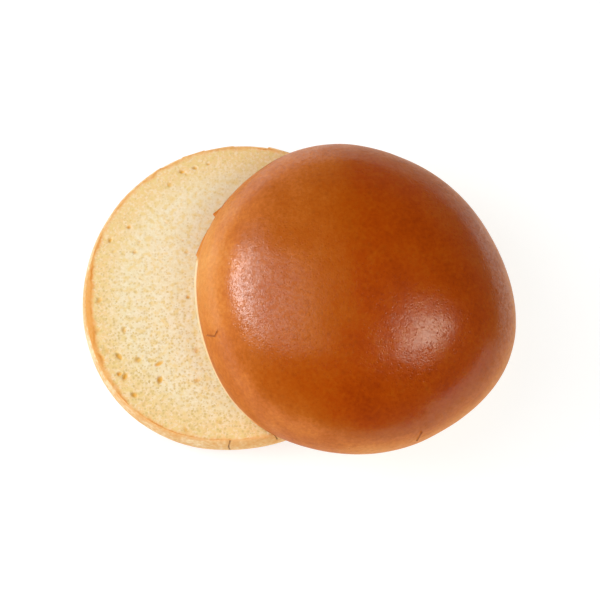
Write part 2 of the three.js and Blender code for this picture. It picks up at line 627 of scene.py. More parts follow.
@dataclass(frozen=True)
class CrumbFinish(Finish):
    """Wheat crumb: dough that rose and was baked to an open foam, and was then cut with a knife.

    To the eye it is matte and pale cream, because light wanders in its thin cell walls. Each cell that the
    knife opened is a darker, yellower dot, and the large bubbles and holes are golden: that colour is painted
    shade inside them, over the dips that the surface tree carves. Towards the crust the oven's heat made it
    yellow and then golden, and the skin itself shows in the cut as a browned line. Sizes are in metres, but
    whatever is compared with the depth in from the crust is in millimetres, as that depth is.
    """

    roughness: float = 0.9
    specular: float = 0.1
    wall: str = "#ECDFC5"
    shade: str = "#E9DAB2"
    near_crust: str = "#ECD9A2"
    under_skin: str = "#ECC88A"
    fleck: str = "#F6ECDA"
    cloud: str = "#E8CD8A"
    # Painted shade: the darker yellow in each open cell, and the golden in large bubbles and holes.
    pore_shade: str = "#D6B874"
    bubble: str = "#E2AC4A"
    skin: str = "#EBA350"
    skin_line: str = "#DC8B34"

    patch_size: float = 6 * MM
    cloud_size: float = 2 * MM
    cloud_range: tuple[float, float] = (0.42, 0.68)
    cloud_share: float = 0.75
    # Real cell walls are about a tenth of a millimetre, too thin to show, so the grain is drawn this coarse.
    grain_size: float = 0.8 * MM
    fleck_range: tuple[float, float] = (0.45, 0.62)
    fleck_share: float = 0.35
    yellow_reach: tuple[float, float] = (26.0, 3.0)
    yellow_share: float = 0.5
    warm_reach: tuple[float, float] = (14.0, 3.0)
    warm_share: float = 0.85
    # How much painted shade each open cell gets, and how much more where the crumb is open.
    pore_shade_share: float = 0.45
    open_pore_shade_share: float = 0.35
    grain_in_pores: float = 2.0
    # How much painted shade the large bubbles and the holes get.
    bubble_share: float = 0.75
    hole_shade_share: float = 0.95

    # The skin's thickness wanders, and the browned line on its inner side comes and goes.
    wander_size: float = 7 * MM
    wander: float = 1.2
    wobble_size: float = 1.8 * MM
    wobble: float = 0.8
    skin_blur: tuple[float, float] = (1.3, -0.5)
    skin_share: float = 0.32
    thick_skin_share: float = 0.22
    line_inset: float = 0.4
    line_width: tuple[float, float] = (0.7, 0.1)
    line_gap_size: float = 8 * MM
    line_gap_range: tuple[float, float] = (0.38, 0.62)
    line_share: float = 0.8

    pore_bump: float = -0.06
    grain_bump: float = 0.1
    bump_strength: float = 0.8
    glow: float = 0.12
    glow_colour: tuple[float, float, float] = (1.0, 0.7, 0.35)
    glow_depth: float = 1.2 * MM

    def shader(self, tree: Tree) -> Node:
        """Adds the finish's nodes to an empty shader tree.

        Args:
            tree: The tree.

        Returns:
            The shader's node.
        """
        add = partial(add_node, tree)
        position = add(Kind.PLACE).outputs["Object"]
        inward, coarse, bubble, hole, thickness = (
            add(Kind.ATTRIBUTE, attribute_name=name).outputs["Fac"]
            for name in ("inward", "coarse", "bubble", "hole", "skin")
        )
        grain = add(Kind.NOISE, position, 1 / self.grain_size, EVEN)
        pores = FINE_PORES.add_to(tree, position, coarse)
        colour = self.walls(tree, position, inward, grain)

        # Painted shade: each open cell is darkened to a yellower colour, and bubbles and holes to golden.
        depth = add(Kind.MULTIPLY_ADD, coarse, self.open_pore_shade_share, self.pore_shade_share)
        depth = add(Kind.MULTIPLY, depth, add(Kind.MULTIPLY, grain, self.grain_in_pores))
        depth = add(Kind.MULTIPLY, pores, depth, use_clamp=True)
        colour = add(Kind.BLEND, depth, colour, linear(self.pore_shade))
        deep = add(Kind.MULTIPLY, bubble, self.bubble_share)
        deep = add(Kind.MAXIMUM, deep, add(Kind.MULTIPLY, hole, self.hole_shade_share), use_clamp=True)
        colour = add(Kind.BLEND, deep, colour, linear(self.bubble))
        colour = self.cut_skin(tree, position, inward, thickness, colour)

        height = add(Kind.MULTIPLY_ADD, pores, self.pore_bump, add(Kind.MULTIPLY, grain, self.grain_bump))
        bump = add(Kind.BUMP, named={"Height": height, "Distance": MM, "Strength": self.bump_strength})
        values = {
            "Base Color": colour,
            "Roughness": self.roughness,
            "Normal": bump,
            "Specular IOR Level": self.specular,
            "Subsurface Weight": self.glow,
            "Subsurface Radius": self.glow_colour,
            "Subsurface Scale": self.glow_depth,
        }
        return add(Kind.SURFACE, named=values)

    def walls(self, tree: Tree, position: Socket, inward: Socket, grain: Node) -> Node:
        """Colours the walls between the cells: uneven cream, yellower towards the crust.

        Args:
            tree: The shader tree.
            position: The place on the half, in metres.
            inward: How far in from the crust it is, in millimetres.
            grain: The crumb's fine grain.

        Returns:
            The colour's node.
        """
        add = partial(add_node, tree)
        patches = add(Kind.NOISE, position, 1 / self.patch_size, EVEN)
        colour = add(Kind.BLEND, patches, linear(self.wall), linear(self.shade))
        yellow = add(Kind.FADE, inward, *self.yellow_reach)
        yellow = add(Kind.MULTIPLY, yellow, add(Kind.MULTIPLY, patches, self.yellow_share))
        colour = add(Kind.BLEND, yellow, colour, linear(self.near_crust))
        warm = add(Kind.MULTIPLY, add(Kind.FADE, inward, *self.warm_reach), self.warm_share)
        colour = add(Kind.BLEND, warm, colour, linear(self.under_skin))
        flecks = add(Kind.MULTIPLY, add(Kind.FADE, grain, *self.fleck_range), self.fleck_share)
        colour = add(Kind.BLEND, flecks, colour, linear(self.fleck))
        clouds = add(Kind.FADE, add(Kind.NOISE, position, 1 / self.cloud_size, EVEN), *self.cloud_range)
        return add(Kind.BLEND, add(Kind.MULTIPLY, clouds, self.cloud_share), colour, linear(self.cloud))

    def cut_skin(self, tree: Tree, position: Socket, inward: Socket, thickness: Socket, crumb: Node) -> Node:
        """Lays the skin that the knife cut through, and the browned line on its inner side, over the crumb.

        Args:
            tree: The shader tree.
            position: The place on the half, in metres.
            inward: How far in from the crust it is, in millimetres.
            thickness: How thick the skin is there, in millimetres.
            crumb: The colour so far.

        Returns:
            The colour's node.
        """
        add = partial(add_node, tree)
        depth = add(Kind.SUBTRACT, inward, thickness)
        uneven = ((self.wander_size, self.wander, SOFT), (self.wobble_size, self.wobble, EVEN))
        for size, reach, detail in uneven:
            waves = add(Kind.NOISE, position, 1 / size, detail)
            depth = add(Kind.SUBTRACT, depth, add(Kind.MULTIPLY_ADD, waves, 2 * reach, -reach))
        browning = add(Kind.MULTIPLY_ADD, thickness, self.thick_skin_share, self.skin_share)
        skin = add(Kind.MULTIPLY, add(Kind.FADE, depth, *self.skin_blur), browning)
        colour = add(Kind.BLEND, skin, crumb, linear(self.skin))
        line = add(Kind.FADE, add(Kind.ABSOLUTE, add(Kind.ADD, depth, self.line_inset)), *self.line_width)
        gaps = add(Kind.NOISE, position, 1 / self.line_gap_size, SOFT)
        line = add(Kind.MULTIPLY, line, add(Kind.RANGE, gaps, *self.line_gap_range))
        return add(Kind.BLEND, add(Kind.MULTIPLY, line, self.line_share), colour, linear(self.skin_line))


@dataclass(frozen=True)
class CrustFinish(Finish):
    """Baked wheat crust: the dough's own skin, dried and browned by the oven, with or without an egg wash.

    To the eye the bare skin is matte, and goes from cream to dark brown with the heat that it got, in uneven
    patches with darker specks. Where egg was brushed on, a thin clear coat gives broad, soft highlights,
    broken up by pits, by the brush's strokes and by the rings of small blisters. The pale side, which set
    later in the oven and shrank, has more grain.
    """

    mottle: float
    pit_height: float
    browning: tuple[tuple[float, str], ...] = (
        (0.0, "#FBE4BC"),
        (0.12, "#EDBE82"),
        (0.2, "#E8AA64"),
        (0.3, "#E59A50"),
        (0.4, "#D9863C"),
        (0.46, "#CE762E"),
        (0.52, "#C36A28"),
        (0.6, "#B35B16"),
        (0.7, "#AB4E08"),
        (0.78, "#A64203"),
        (0.88, "#963602"),
        (1.0, "#7C2B02"),
    )
    # Real dark specks, pits and blister rings take this colour, and so does the painted shade in cracks.
    speck_and_crack_shade: str = "#6A2A08"
    patch_size: float = 9 * MM
    patch_grain: float = 1.3 * MM
    # Darker crust is more uneven by this much, from the first of these bakes to the second.
    dark_bake: tuple[float, float] = (0.7, 0.86)
    dark_mottle: float = 0.06

    specks: Spots = Spots(2.3 * MM, share=0.4, radius=0.5, middle=0.08)
    pits: Spots = Spots(0.85 * MM, share=0.75, radius=0.5, middle=0.1)
    blisters: Spots = Spots(3.4 * MM, share=0.3, radius=0.34, middle=0.2)
    spot_share: float = 0.3
    ring_share: float = 0.2
    # Painted shade: how far a crack's line is darkened, as shade in the split.
    crack_shade_share: float = 0.8
    pale_spot_share: float = 0.1

    coat_roughness: float = 0.2
    brush_size: float = 1.2 * MM
    brush_range: tuple[float, float] = (0.47, 0.57)
    full_coat: float = 1.12
    dull_loss: float = 0.6
    pale_bake: tuple[float, float] = (0.74, 0.58)
    dark_side_brush: float = 0.5

    # The real grain is about 0.2 mm across, too fine to show, so it is drawn three times as coarse.
    grain_size: float = 0.6 * MM
    grain_bump: float = 0.028
    shrunk_bump: float = 0.03
    fold_size: float = 2 * MM
    fold_bump: float = 0.05

    def shader(self, tree: Tree) -> Node:
        """Adds the finish's nodes to an empty shader tree.

        Args:
            tree: The tree.

        Returns:
            The shader's node.
        """
        add = partial(add_node, tree)
        position = add(Kind.PLACE).outputs["Object"]
        bake, glaze, crack = (
            add(Kind.ATTRIBUTE, attribute_name=name).outputs["Fac"] for name in ("bake", "glaze", "crack")
        )
        specks = self.specks.spot(tree, *self.specks.nearest(tree, position))
        pits = self.pits.spot(tree, *self.pits.nearest(tree, position))
        nearest_blister = self.blisters.nearest(tree, position)
        blisters = self.blisters.spot(tree, *nearest_blister)
        rings = self.blisters.ring(tree, *nearest_blister)

        dark = add(Kind.MULTIPLY, specks, self.spot_share)
        dark = add(Kind.MAXIMUM, dark, add(Kind.MULTIPLY, pits, self.spot_share))
        dark = add(Kind.MAXIMUM, dark, add(Kind.MULTIPLY, rings, self.ring_share))
        baked = add(Kind.MULTIPLY_ADD, bake, 1 - self.pale_spot_share, self.pale_spot_share)
        dark = add(Kind.MULTIPLY, dark, baked)
        # Painted shade in each crack: its line is darkened, over the groove that is carved.
        dark = add(Kind.MAXIMUM, dark, add(Kind.MULTIPLY, crack, self.crack_shade_share))
        colour = add(Kind.BLEND, dark, self.browned(tree, position, bake), linear(self.speck_and_crack_shade))

        # The egg was brushed on by hand, and it dried dull where it was thin.
        pale = add(Kind.FADE, bake, *self.pale_bake)
        dull = add(Kind.FADE, add(Kind.NOISE, position, 1 / self.brush_size, EVEN), *self.brush_range)
        patchy = add(Kind.MULTIPLY_ADD, pale, 1 - self.dark_side_brush, self.dark_side_brush)
        dull = add(Kind.MAXIMUM, add(Kind.MULTIPLY, dull, patchy), add(Kind.MAXIMUM, pits, rings))
        coat = add(Kind.MULTIPLY, glaze, add(Kind.MULTIPLY_ADD, dull, -self.dull_loss, self.full_coat))

        grain = add(Kind.NOISE, position, 1 / self.grain_size, EVEN)
        grain = add(Kind.MULTIPLY, grain, add(Kind.MULTIPLY_ADD, pale, self.shrunk_bump, self.grain_bump))
        folds = add(Kind.NOISE, position, 1 / self.fold_size, EVEN)
        height = add(Kind.MULTIPLY_ADD, folds, self.fold_bump, grain)
        height = add(Kind.MULTIPLY_ADD, pits, -self.pit_height, height)
        height = add(Kind.MULTIPLY_ADD, blisters, self.pit_height, height)
        bump = add(Kind.BUMP, named={"Height": height, "Distance": MM, "Strength": 1.0})
        values = {
            "Base Color": colour,
            "Roughness": self.roughness,
            "Normal": bump,
            "Specular IOR Level": self.specular,
            "Coat Weight": coat,
            "Coat Roughness": self.coat_roughness,
            "Coat Normal": bump,
        }
        return add(Kind.SURFACE, named=values)

    def browned(self, tree: Tree, position: Socket, bake: Socket) -> Node:
        """Colours the skin by how long the oven browned it, in uneven patches.

        Args:
            tree: The shader tree.
            position: The place on the half, in metres.
            bake: How brown the skin is there, from 0 to 1.

        Returns:
            The colour's node.
        """
        add = partial(add_node, tree)
        sizes = (self.patch_size, self.patch_grain)
        patches, grain = (add(Kind.NOISE, position, 1 / size, RICH) for size in sizes)
        shift = add(Kind.ADD, add(Kind.SUBTRACT, patches, 0.5), add(Kind.SUBTRACT, grain, 0.5))
        mottle = add(Kind.MULTIPLY_ADD, add(Kind.FADE, bake, *self.dark_bake), self.dark_mottle, self.mottle)
        ramp = add(Kind.RAMP, add(Kind.MULTIPLY_ADD, shift, mottle, bake))
        stops = ramp.color_ramp.elements
        while len(stops) < len(self.browning):
            stops.new(0.5)
        for stop, (at, colour) in zip(stops, self.browning):
            stop.position = at
            stop.color = linear(colour)
        return ramp


# ---------------------------------------- the two halves


@dataclass
class Section:
    """Half of a section through a half of the roll, from the middle of the cut face round to the axis again.

    Each array has one value for each point: its radius, its height, how far apart points may lie there,
    whether it is on the cut face, and how far from the cut's edge it is along the surface.
    """

    radius: np.ndarray
    height: np.ndarray
    spacing: np.ndarray
    on_cut: np.ndarray
    from_edge: np.ndarray


@dataclass
class RollHalf:
    """One half of the roll: a section turned round the half's own axis, whose outline is lobed and torn."""

    node: str
    slot: str
    lies: Lies
    centre: tuple[float, float]
    lobes: tuple[Lobe, ...]
    edge_changes: tuple[EdgeChange, ...] = ()
    cracks: tuple[Crack, ...] = ()
    holes: tuple[Hole, ...] = ()
    sizes: SurfaceSizes = SurfaceSizes()
    cut_radius: float = 52 * MM
    bulge: float = 1 * MM
    full_round: float = 0.62
    edge_round: float = 0.35 * MM
    edge_points: int = 5
    edge_reach: float = 3 * MM

    cut_spacing: float = 0.42 * MM
    skin_spacing: float = 0.7 * MM
    fewest_spokes: int = 10
    widest_gap: float = 1.35
    on_axis: float = 1e-7

    # Crumb starts this far in from the skin. It is opener on one side, because the dough rose more there.
    crumb_reach: tuple[float, float] = (0.8 * MM, 2.2 * MM)
    open_side: float = -110.0
    open_reach: tuple[float, float] = (-20 * MM, 40 * MM)
    thin_skin: float = 0.8 * MM
    thick_skin: float = 2.5 * MM
    thick_side: float = 190.0
    thick_spread: float = 20.0

    def __post_init__(self) -> None:
        """Reads the half's place and height from the frame."""
        low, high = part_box(self.node)
        self.low: float = low.z
        self.tall: float = high.z - low.z

    def skin_outline(self) -> np.ndarray:
        """Gives the section's line from the cut edge to the axis, as radius and height above the foot."""
        raise NotImplementedError

    def bake(self, angles: np.ndarray, heights: np.ndarray, radii: np.ndarray) -> np.ndarray:
        """Says how brown the skin is, from 0, pale, to 1, dark."""
        raise NotImplementedError

    def glaze(self, angles: np.ndarray, heights: np.ndarray) -> np.ndarray:
        """Says how much egg wash the skin holds, from 0 to 1."""
        raise NotImplementedError

    def give(self, heights: np.ndarray) -> np.ndarray:
        """Says how far the lumps may move the skin, from 0, where it lies flat, to 1."""
        raise NotImplementedError

    def skin_thickness(self, angles: np.ndarray) -> np.ndarray:
        """Gives the thickness of the baked skin in the cut, which is greatest on one side."""
        extra = self.thick_skin - self.thin_skin
        return self.thin_skin + extra * hump(angles, self.thick_side, self.thick_spread)

    def coarse(self, points: np.ndarray) -> np.ndarray:
        """Says how open the crumb is.

        Args:
            points: The half's points, one in each row.

        Returns:
            0 where it is close and 1 where it is open, for each point.
        """
        side = math.radians(self.open_side)
        across = (points[:, :2] - self.centre) @ (math.cos(side), math.sin(side))
        return smooth(across, *self.open_reach)

    def section(self) -> Section:
        """Puts the section together: cut face, rounded edge, skin.

        Returns:
            The section.
        """
        cut = self.tall if self.lies is Lies.CUT_UP else 0.0
        skin = self.skin_outline()
        along = distances_along(skin)
        start = [np.interp(self.edge_round, along, skin[:, i]) for i in range(2)]
        face = spaced(np.array([[0, cut], [self.cut_radius - self.edge_round, cut]]), self.cut_spacing)
        edge = bezier(tuple(face[-1]), (self.cut_radius, cut), tuple(start), count=self.edge_points)[1:-1]
        wall = spaced(np.concatenate([[start], skin[along > self.edge_round]]), self.skin_spacing)
        points = np.concatenate([face, edge, wall])
        on_cut = np.arange(len(points)) < len(face)
        total = distances_along(points)
        from_edge = np.where(on_cut, self.cut_radius - points[:, 0], total - total[len(face) - 1])
        spacing = np.where(on_cut, self.cut_spacing, self.skin_spacing)
        return Section(points[:, 0], points[:, 1], spacing, on_cut, from_edge)

    def spokes(self, section: Section) -> list[int]:
        """Says how many points each ring has: the count doubles outwards, and is 1 on the axis.

        Args:
            section: The section whose points are turned into rings.

        Returns:
            The number for each point of the section.
        """
        counts = []
        for radius, spacing in zip(section.radius, section.spacing):
            count = self.fewest_spokes
            while FULL_TURN * radius / count > spacing * self.widest_gap:
                count *= 2
            counts.append(1 if radius < self.on_axis else count)
        return counts

    def outline(self, angles: np.ndarray) -> np.ndarray:
        """Gives the factor by which the lobes change the radius at each angle."""
        return 1 + sum(lobe.swell(angles) for lobe in self.lobes)

    def place(
        self, angles: np.ndarray, radii: np.ndarray, heights: np.ndarray, from_edge: np.ndarray
    ) -> np.ndarray:
        """Places points of the section, with the lobes of the dough and the changes of the cut edge.

        Args:
            angles: Each point's direction, in radians.
            radii: Each point's radius in the section.
            heights: Each point's height above the half's foot.
            from_edge: How far each point is from the cut's edge.

        Returns:
            The points, with x, y and z along the last axis.
        """
        shift = sum((change.step(angles) for change in self.edge_changes), np.zeros_like(angles))
        reach = radii * self.outline(angles) + shift * np.exp(-from_edge / self.edge_reach)
        x = self.centre[0] + reach * np.cos(angles)
        y = self.centre[1] + reach * np.sin(angles)
        return np.stack([x, y, self.low + heights], axis=-1)

    def base_mesh(self) -> bpy.types.Mesh:
        """Turns the section into a closed mesh with the attributes that the tree and the finishes read.

        Returns:
            The mesh.
        """
        section = self.section()
        counts = self.spokes(section)
        first = np.concatenate([[0], np.cumsum(counts)])
        station = np.repeat(np.arange(len(counts)), counts)
        angles = FULL_TURN * (np.arange(first[-1]) - first[station]) / np.array(counts)[station]
        radii = section.radius[station]
        heights = section.height[station]
        points = self.place(angles, radii, heights, section.from_edge[station])
        faces: list[tuple[int, ...]] = []
        cut_faces: list[bool] = []
        for i in range(len(counts) - 1):
            made = self.stitch(int(first[i]), counts[i], int(first[i + 1]), counts[i + 1])
            faces += made
            cut_faces += [bool(section.on_cut[i] and section.on_cut[i + 1])] * len(made)
        mesh = bpy.data.meshes.new(self.node)
        mesh.from_pydata(points.tolist(), [], faces)
        on_cut = section.on_cut[station]
        inward = np.where(on_cut, section.from_edge[station], 0)
        values = {
            "crumb": smooth(inward, *self.crumb_reach),
            "inward": inward / MM,
            "give": np.where(on_cut, 0, self.give(heights)),
            "bake": self.bake(angles, heights, radii),
            "glaze": self.glaze(angles, heights),
            "crack": np.zeros_like(angles),
            "hole": np.zeros_like(angles),
            "coarse": self.coarse(points),
            "skin": self.skin_thickness(angles) / MM,
        }
        for name, array in values.items():
            attribute = mesh.attributes.new(name, "FLOAT", "POINT")
            attribute.data.foreach_set("value", array.astype(np.float32))
        mesh.attributes.new("cut", "BOOLEAN", "FACE").data.foreach_set("value", cut_faces)
        return mesh

    @staticmethod
    def stitch(inner: int, inner_count: int, outer: int, outer_count: int) -> list[tuple[int, ...]]:
        """Joins two neighbouring rings, of which one may have twice the points of the other or be one point.

        Args:
            inner: The first vertex of the one ring.
            inner_count: How many it has.
            outer: The first vertex of the other ring.
            outer_count: How many it has.

        Returns:
            The faces between them.
        """
        if inner_count == 1:
            return [(inner, outer + k, outer + (k + 1) % outer_count) for k in range(outer_count)]
        if outer_count < inner_count:
            turned = RollHalf.stitch(outer, outer_count, inner, inner_count)
            return [face[::-1] for face in turned]
        faces: list[tuple[int, ...]] = []
        for k in range(inner_count):
            n = (k + 1) % inner_count
            if inner_count == outer_count:
                faces.append((inner + k, outer + k, outer + n, inner + n))
                continue
            middle = outer + 2 * k + 1
            faces.append((inner + k, outer + 2 * k, middle))
            faces.append((inner + k, middle, inner + n))
            faces.append((inner + n, middle, outer + (2 * k + 2) % outer_count))
        return faces

    def skin_point(self, degrees: float, height: float) -> Vector:
        """Finds the point of the skin in a direction, at a height above the half's foot.

        Args:
            degrees: The direction round the axis.
            height: The height.

        Returns:
            The point.
        """
        skin = self.skin_outline()
        order = np.argsort(skin[:, 1])
        radius = np.interp(height, skin[order, 1], skin[order, 0])
        from_edge = np.interp(height, skin[order, 1], distances_along(skin)[order])
        return Vector(self.place(np.array(math.radians(degrees)), radius, height, from_edge))

    def carve(self, shape: bmesh.types.BMesh, crack: Crack) -> None:
        """Makes the mesh finer round a crack, and sinks the crack into it.

        Args:
            shape: The half's mesh.
            crack: The crack.
        """
        layer = shape.verts.layers.float["crack"]
        line = [self.skin_point(*point) for point in crack.points]

        def measured() -> dict[bmesh.types.BMVert, float]:
            """Gives how far from the crack each vertex is that could be near it."""
            close = (v for v in shape.verts if (v.co - line[0]).length < crack.search)
            return {v: distance_to_line(v.co, line) for v in close}

        near = {v for v, distance in measured().items() if distance < crack.fringe * crack.width}
        edges = [edge for edge in shape.edges if near.issuperset(edge.verts)]
        bmesh.ops.subdivide_edges(shape, edges=edges, cuts=crack.cuts, use_grid_fill=True)
        shape.normal_update()
        for v, distance in measured().items():
            if distance < crack.width:
                v[layer] = smooth(distance, crack.width, 0)
                v.co -= v.normal * (crack.depth * v[layer])

    def carve_cracks(self, mesh: bpy.types.Mesh) -> None:
        """Carves each crack into the mesh.

        Args:
            mesh: The half's mesh, which is changed.
        """
        shape = bmesh.new()
        shape.from_mesh(mesh)
        for crack in self.cracks:
            self.carve(shape, crack)
        bmesh.ops.triangulate(shape, faces=[face for face in shape.faces if len(face.verts) > 4])
        bmesh.ops.recalc_face_normals(shape, faces=shape.faces)
        shape.to_mesh(mesh)
        shape.free()

    def open_holes(self, mesh: bpy.types.Mesh) -> None:
        """Sinks each large gas hole into the cut face.

        Args:
            mesh: The half's mesh, which is changed.
        """
        count = len(mesh.vertices)
        points = np.empty(count * 3, np.float32)
        mesh.vertices.foreach_get("co", points)
        points = points.reshape(-1, 3).astype(float)
        crumb = np.empty(count, np.float32)
        mesh.attributes["crumb"].data.foreach_get("value", crumb)
        deep = np.zeros(count)
        mark = np.zeros(count)
        for hole in self.holes:
            share = hole.share(points[:, 0] - self.centre[0], points[:, 1] - self.centre[1]) * crumb
            deep = np.maximum(deep, share * hole.depth)
            mark = np.maximum(mark, share)
        points[:, 2] -= deep
        mesh.vertices.foreach_set("co", points.astype(np.float32).ravel())
        # The mark tells the crumb's finish where to paint the shade inside each hole.
        mesh.attributes["hole"].data.foreach_set("value", mark.astype(np.float32))
        mesh.update()

    def build(
        self, surface: SurfaceTree, crust: bpy.types.Material, crumb: bpy.types.Material
    ) -> bpy.types.Object:
        """Makes the half's piece, puts it under the body, and hides the part of the frame that it stands for.

        Args:
            surface: The tree that finishes the shape.
            crust: The finish of the skin.
            crumb: The finish of the cut face.

        Returns:
            The finished piece.
        """
        mesh = self.base_mesh()
        self.open_holes(mesh)
        self.carve_cracks(mesh)
        mesh.shade_smooth()
        piece = bpy.data.objects.new(f"{self.node}_half", mesh)
        bpy.context.scene.collection.objects.link(piece)
        surface.apply(piece, self.sizes, crust, crumb)
        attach(piece, BODY)
        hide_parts(self.node)
        return piece


@dataclass
class Heel(RollHalf):
    """The bottom half, cut face up: a shallow dish with a pale wall and a brown baked foot."""

    waist_height: float = 12.5 * MM
    foot_radius: float = 43 * MM
    wall_bake: float = 0.07
    # One side of the wall browned more.
    brown_side: float = 262.0
    brown_spread: float = 30.0
    brown_bake: float = 0.06
    edge_bake: float = 0.04
    edge_height: float = 2 * MM
    foot_bake: float = 0.56
    foot_height: float = 5 * MM
    # The lumps leave the foot flat and the cut's edge even: they start and are full at these heights.
    foot_firm: tuple[float, float] = (0.3 * MM, 4 * MM)
    edge_firm: tuple[float, float] = (-1 * MM, 3 * MM)

    def skin_outline(self) -> np.ndarray:
        """Goes from the cut edge down over the waist, round to the foot and in to the axis.

        Returns:
            Points of radius and height.
        """
        waist = self.cut_radius + self.bulge
        curl = waist - self.foot_radius
        shoulder = self.tall - self.waist_height
        upper = bezier(
            (self.cut_radius, self.tall),
            (waist, self.tall - shoulder / 2),
            (waist, self.waist_height),
        )
        lower = bezier(
            (waist, self.waist_height),
            (waist, self.waist_height * (1 - self.full_round)),
            (self.foot_radius + curl * self.full_round, 0),
            (self.foot_radius, 0),
        )
        return np.concatenate([upper, lower[1:], [[0.0, 0.0]]])

    def bake(self, angles: np.ndarray, heights: np.ndarray, radii: np.ndarray) -> np.ndarray:
        """Bakes the cut's edge golden, the wall pale, and the foot, which lay on the tin, brown.

        Args:
            angles: Each point's direction, in radians.
            heights: Each point's height above the foot.
            radii: Each point's radius, which makes no difference here.

        Returns:
            How brown each point is.
        """
        wall = self.wall_bake + self.brown_bake * hump(angles, self.brown_side, self.brown_spread)
        edge = self.edge_bake * smooth(heights, self.tall - self.edge_height, self.tall)
        return wall + edge + self.foot_bake * smooth(heights, self.foot_height, 0)

    def glaze(self, angles: np.ndarray, heights: np.ndarray) -> np.ndarray:
        """No egg was brushed on the heel."""
        return np.zeros_like(heights)

    def give(self, heights: np.ndarray) -> np.ndarray:
        """The foot stays flat, and the wall is loose between it and the cut."""
        return smooth(heights, *self.foot_firm) * smooth(self.tall - heights, *self.edge_firm)


@dataclass
class Crown(RollHalf):
    """The top half, cut face down: a glossy brown dome, paler near the cut.

    Bakes go from 0, pale, to 1, dark. The open side browned from the cut upwards. The shaded side, where a
    neighbour stood in the oven, stayed paler, with a pale middle and one browner patch.
    """

    waist_height: float = 6 * MM
    cut_bake: float = 0.38
    top_bake: float = 0.79
    bake_start: float = 9 * MM
    bake_full: float = 26 * MM
    # On the low side the brown starts as low, but is full only this much higher.
    low_side: float = 30.0
    low_rise: float = 6 * MM

    shaded_side: float = 178.0
    shaded_lean: tuple[float, float] = (-0.15, 0.35)
    shaded_rim_bake: float = 0.5
    shaded_top_bake: float = 0.62
    shaded_shares: tuple[float, float] = (0.99, 0.62)
    pale_side: float = 170.0
    pale_spread: float = 24.0
    pale_loss: float = 0.19
    brown_side: float = -116.0
    brown_spread: float = 27.0
    brown_gain: float = 0.13
    brown_starts: tuple[float, float] = (0.4, 0.7)
    brown_ends: tuple[float, float] = (0.95, 0.82)

    # The lip: a strip of white crumb that the knife left along the cut, from one direction on, in degrees.
    lip_start: float = 163.0
    lip_span: float = 75.0
    lip_blur: tuple[float, float] = (-0.5, 2.5)
    lip_taper: float = 12.0
    lip_heights: tuple[float, float] = (3 * MM, 1.2 * MM)

    waist_glaze: float = 0.03
    brushed_heights: tuple[float, float] = (8 * MM, 28 * MM)
    # The brush left less egg low down on two opposite sides, of which this is one.
    thin_side: float = 65.0
    thin_loss: float = 0.6
    thin_heights: tuple[float, float] = (30 * MM, 24 * MM)
    firm_height: float = 5 * MM

    def skin_outline(self) -> np.ndarray:
        """Goes from the cut edge up over the waist and the dome to the top.

        Returns:
            Points of radius and height.
        """
        waist = self.cut_radius + self.bulge
        dome = self.tall - self.waist_height
        lower = bezier((self.cut_radius, 0), (waist, self.waist_height / 2), (waist, self.waist_height))
        upper = bezier(
            (waist, self.waist_height),
            (waist, self.waist_height + dome * self.full_round),
            (waist * self.full_round, self.tall),
            (0, self.tall),
        )
        return np.concatenate([lower, upper[1:]])

    def bake(self, angles: np.ndarray, heights: np.ndarray, radii: np.ndarray) -> np.ndarray:
        """Bakes the top brown, the skin by the cut pale, and the shaded side paler than the open one.

        Args:
            angles: Each point's direction, in radians.
            heights: Each point's height above the cut.
            radii: Each point's radius.

        Returns:
            How brown each point is.
        """
        full = self.bake_full + self.low_rise * smooth(np.cos(angles - math.radians(self.low_side)), 0, 1)
        open_bake = self.cut_bake + (self.top_bake - self.cut_bake) * smooth(heights, self.bake_start, full)
        share = radii / (self.cut_radius + self.bulge)
        rim = self.shaded_rim_bake - self.pale_loss * hump(angles, self.pale_side, self.pale_spread)
        shaded_bake = rim + (self.shaded_top_bake - rim) * smooth(share, *self.shaded_shares)
        lean = np.cos(angles - math.radians(self.shaded_side)) * radii / self.cut_radius
        bake = open_bake + (shaded_bake - open_bake) * smooth(lean, *self.shaded_lean)
        brown = self.brown_gain * hump(angles, self.brown_side, self.brown_spread)
        bake = bake + brown * smooth(share, *self.brown_starts) * smooth(share, *self.brown_ends)
        return bake * (1 - self.lip(angles, heights))

    def lip(self, angles: np.ndarray, heights: np.ndarray) -> np.ndarray:
        """Says where the lip of crumb is.

        Args:
            angles: Each point's direction, in radians.
            heights: Each point's height above the cut.

        Returns:
            1 on the lip and 0 elsewhere, with soft ends.
        """
        past = np.degrees(angles) % 360 - self.lip_start
        lip = smooth(past, *self.lip_blur) * smooth(past, self.lip_span, self.lip_span - self.lip_taper)
        return lip * smooth(heights, *self.lip_heights)

    def glaze(self, angles: np.ndarray, heights: np.ndarray) -> np.ndarray:
        """Lays the egg over the dome. Less of it ran down to the waist, and two sides got less.

        Args:
            angles: Each point's direction, in radians.
            heights: Each point's height above the cut.

        Returns:
            How much egg each point holds.
        """
        thin = self.thin_loss * smooth(np.cos(2 * (angles - math.radians(self.thin_side))), 0, 1)
        thin = thin * smooth(heights, *self.thin_heights)
        brushed = smooth(heights, *self.brushed_heights) * (1 - thin)
        return self.waist_glaze + (1 - self.waist_glaze) * brushed

    def give(self, heights: np.ndarray) -> np.ndarray:
        """The whole dome is loose, but for the edge that the knife left."""
        return smooth(heights, 0, self.firm_height)


# ---------------------------------------- the studio


